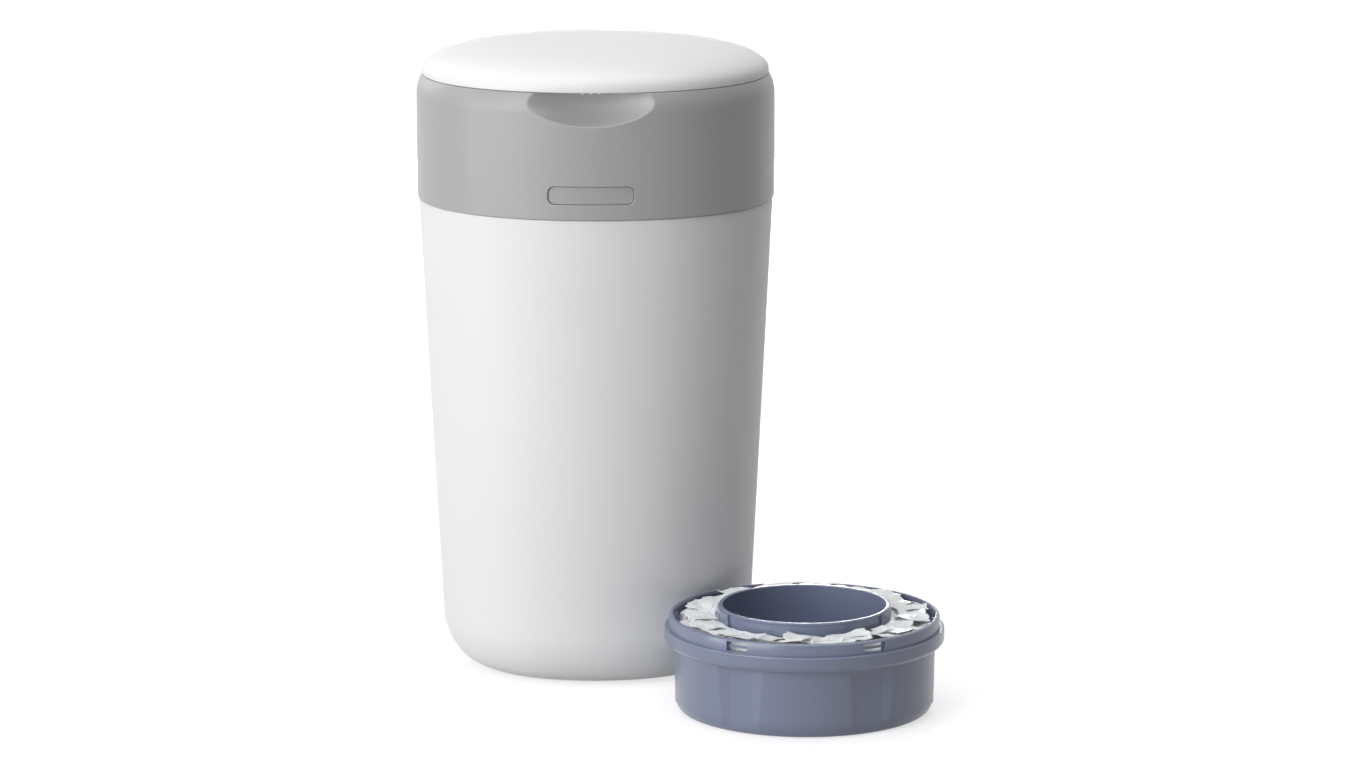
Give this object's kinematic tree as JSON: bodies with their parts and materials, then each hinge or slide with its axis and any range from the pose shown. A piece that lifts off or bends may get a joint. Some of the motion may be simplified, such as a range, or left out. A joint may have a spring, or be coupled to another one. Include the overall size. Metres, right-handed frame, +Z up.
{
  "type": "nappy bin",
  "caption": "Tall nappy bin with a tapered tub, hinged collar, domed lid and a turning film cassette, with a spare cassette beside it.",
  "frame": {"origin": "on the floor, where the bin's upright axis meets the tub's flat foot", "axes": "+Z up, -Y towards the front with the finger scoop and the release button, +X to the viewer's right in a front view"},
  "size_m": [0.3815, 0.399, 0.4598],
  "materials": {
    "white_polypropylene": "moulded, satin",
    "grey_polypropylene": "moulded, fine texture",
    "pale_grey_polypropylene": "moulded",
    "white_acetal": "moulded",
    "blue_grey_polypropylene": "moulded, satin",
    "white_film": "thin crumpled film",
    "black_elastomer": "matt",
    "steel": "plated"
  },
  "bodies": {
    "tub": {"tub": "white_polypropylene", "collar_hinge_pin": "steel"},
    "collar": {"collar_shell": "grey_polypropylene", "mouth_bezel": "pale_grey_polypropylene", "bezel_screws": "steel", "mechanism_deck": "pale_grey_polypropylene", "deck_screws": "steel", "film_gripper": "black_elastomer", "gripper_clamp_ring": "pale_grey_polypropylene", "clamp_screws": "steel", "cutter_guard": "pale_grey_polypropylene", "cutter_blade": "steel", "pawl_screw": "steel", "lid_hinge_pin": "steel", "latch_leaf_spring": "steel"},
    "latch": {"latch_button": "grey_polypropylene"},
    "pawl": {"click_pawl": "white_acetal"},
    "lid": {"lid_shell": "white_polypropylene", "lid_liner": "white_polypropylene", "lid_seal": "black_elastomer"},
    "twister": {"turntable": "white_acetal", "twist_ring": "white_acetal", "cassette_housing": "blue_grey_polypropylene", "cassette_tube": "blue_grey_polypropylene", "cassette_lock_ring": "blue_grey_polypropylene", "cassette_film": "white_film"},
    "spare_cassette": {"refill_housing": "blue_grey_polypropylene", "refill_tube": "blue_grey_polypropylene", "refill_lock_ring": "blue_grey_polypropylene", "refill_film": "white_film"}
  },
  "joints": [
    {"name": "collar_hinge", "type": "hinge", "parent": "tub", "child": "collar", "pos_m": [0, 0.1365, 0.345], "axis": [-1, 0, 0], "range_deg": [0, 85]},
    {"name": "lid_hinge", "type": "hinge", "parent": "collar", "child": "lid", "pos_m": [0, 0.1355, 0.4315], "axis": [-1, 0, 0], "range_deg": [0, 100]},
    {"name": "twist_turn", "type": "hinge", "parent": "collar", "child": "twister", "pos_m": [0, 0, 0.33], "axis": [0, 0, 1], "continuous": true},
    {"name": "latch_press", "type": "slide", "parent": "collar", "child": "latch", "axis": [0, 1, 0], "range_m": [0, 0.0025], "stiffness_N_per_m": 400, "deforming": ["latch_leaf_spring"]},
    {"name": "pawl_click", "type": "hinge", "parent": "collar", "child": "pawl", "pos_m": [0.09752, 0.04476, 0.3313], "axis": [0, 0, 1], "range_deg": [0, 14], "stiffness_Nm_per_rad": 0.02},
    {"name": "spare_lift", "type": "slide", "parent": "tub", "child": "spare_cassette", "axis": [0.2, -0.2, 0.9592], "range_m": [0, 0.15]}
  ]
}
